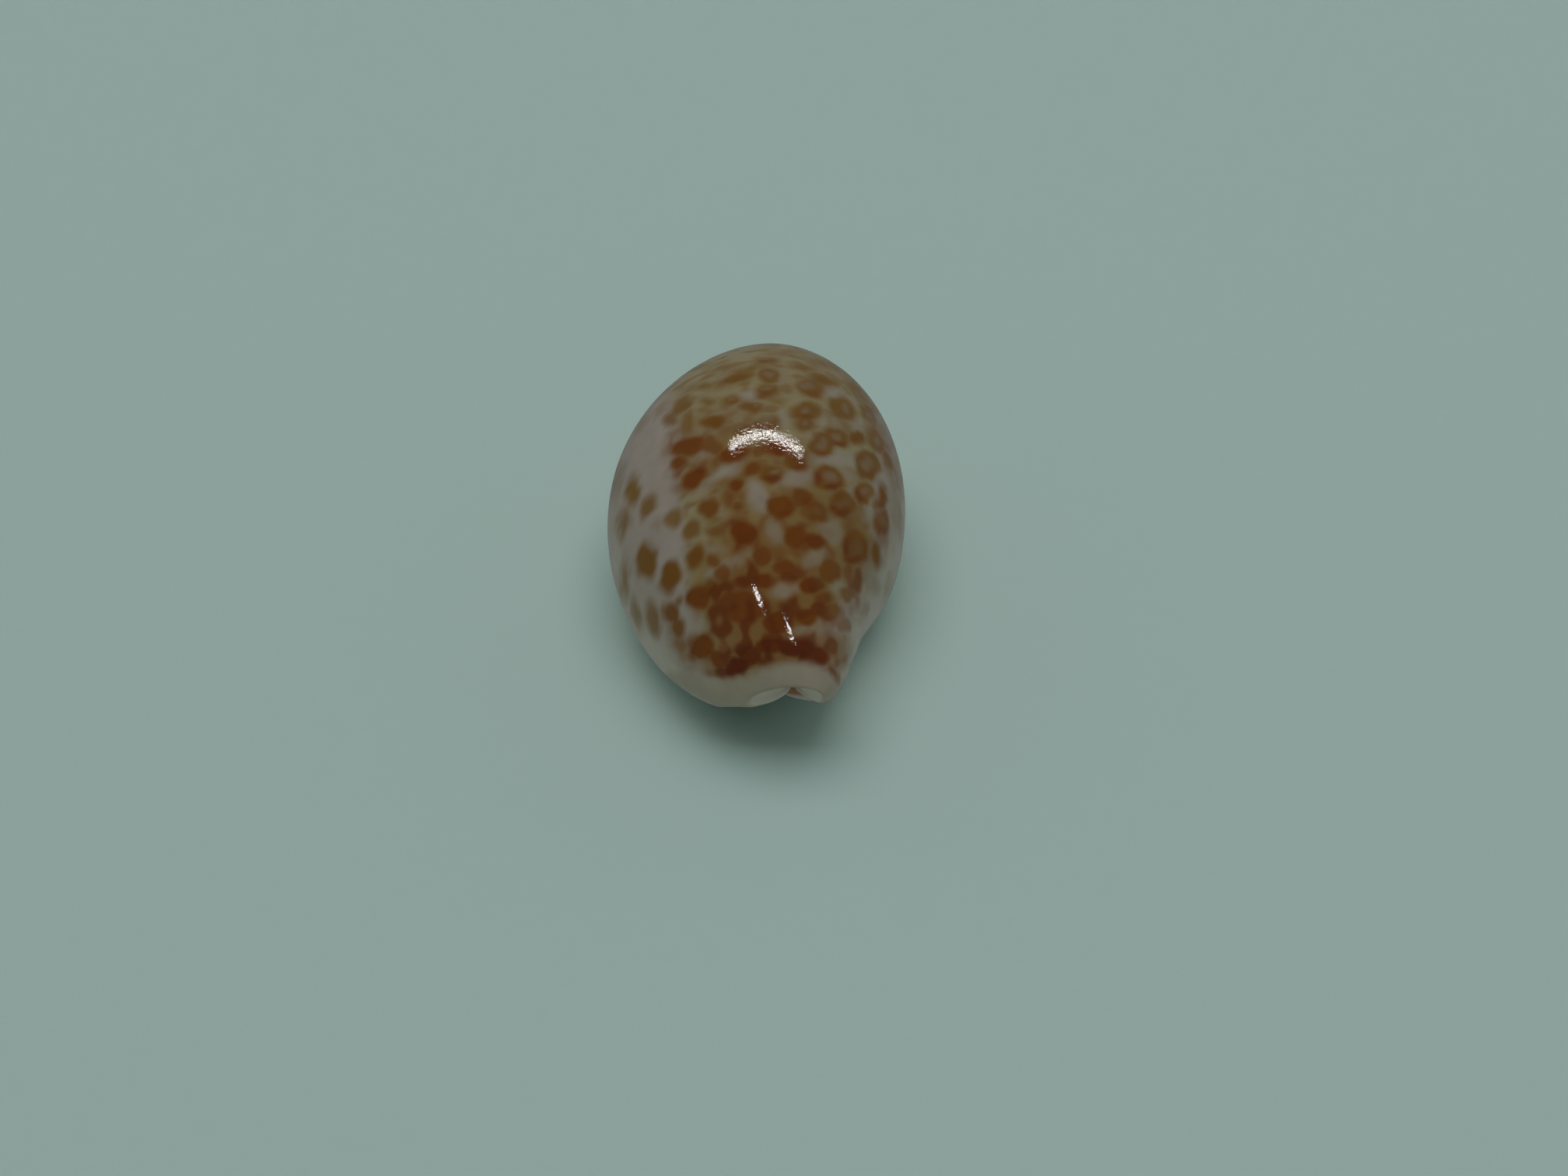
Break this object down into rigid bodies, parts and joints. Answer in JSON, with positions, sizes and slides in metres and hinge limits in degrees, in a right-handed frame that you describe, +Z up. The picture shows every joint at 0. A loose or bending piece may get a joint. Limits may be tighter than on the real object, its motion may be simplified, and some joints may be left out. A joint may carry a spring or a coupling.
{
  "type": "white-spotted cowrie shell",
  "caption": "Glossy egg-shaped cowrie shell lying on its flat toothed base, hollow behind a long narrow slit, with a short open canal at each end.",
  "frame": {"origin": "centre of the shell's bounding box on the surface that it rests on", "axes": "+Y along the shell towards its rear end, away from the siphonal canal; +X towards the inner lip's side; +Z up, out of the back"},
  "size_m": [0.0152, 0.024, 0.0115],
  "materials": {
    "shell": "glossy"
  },
  "bodies": {
    "root": {"shell": "shell"}
  },
  "joints": []
}
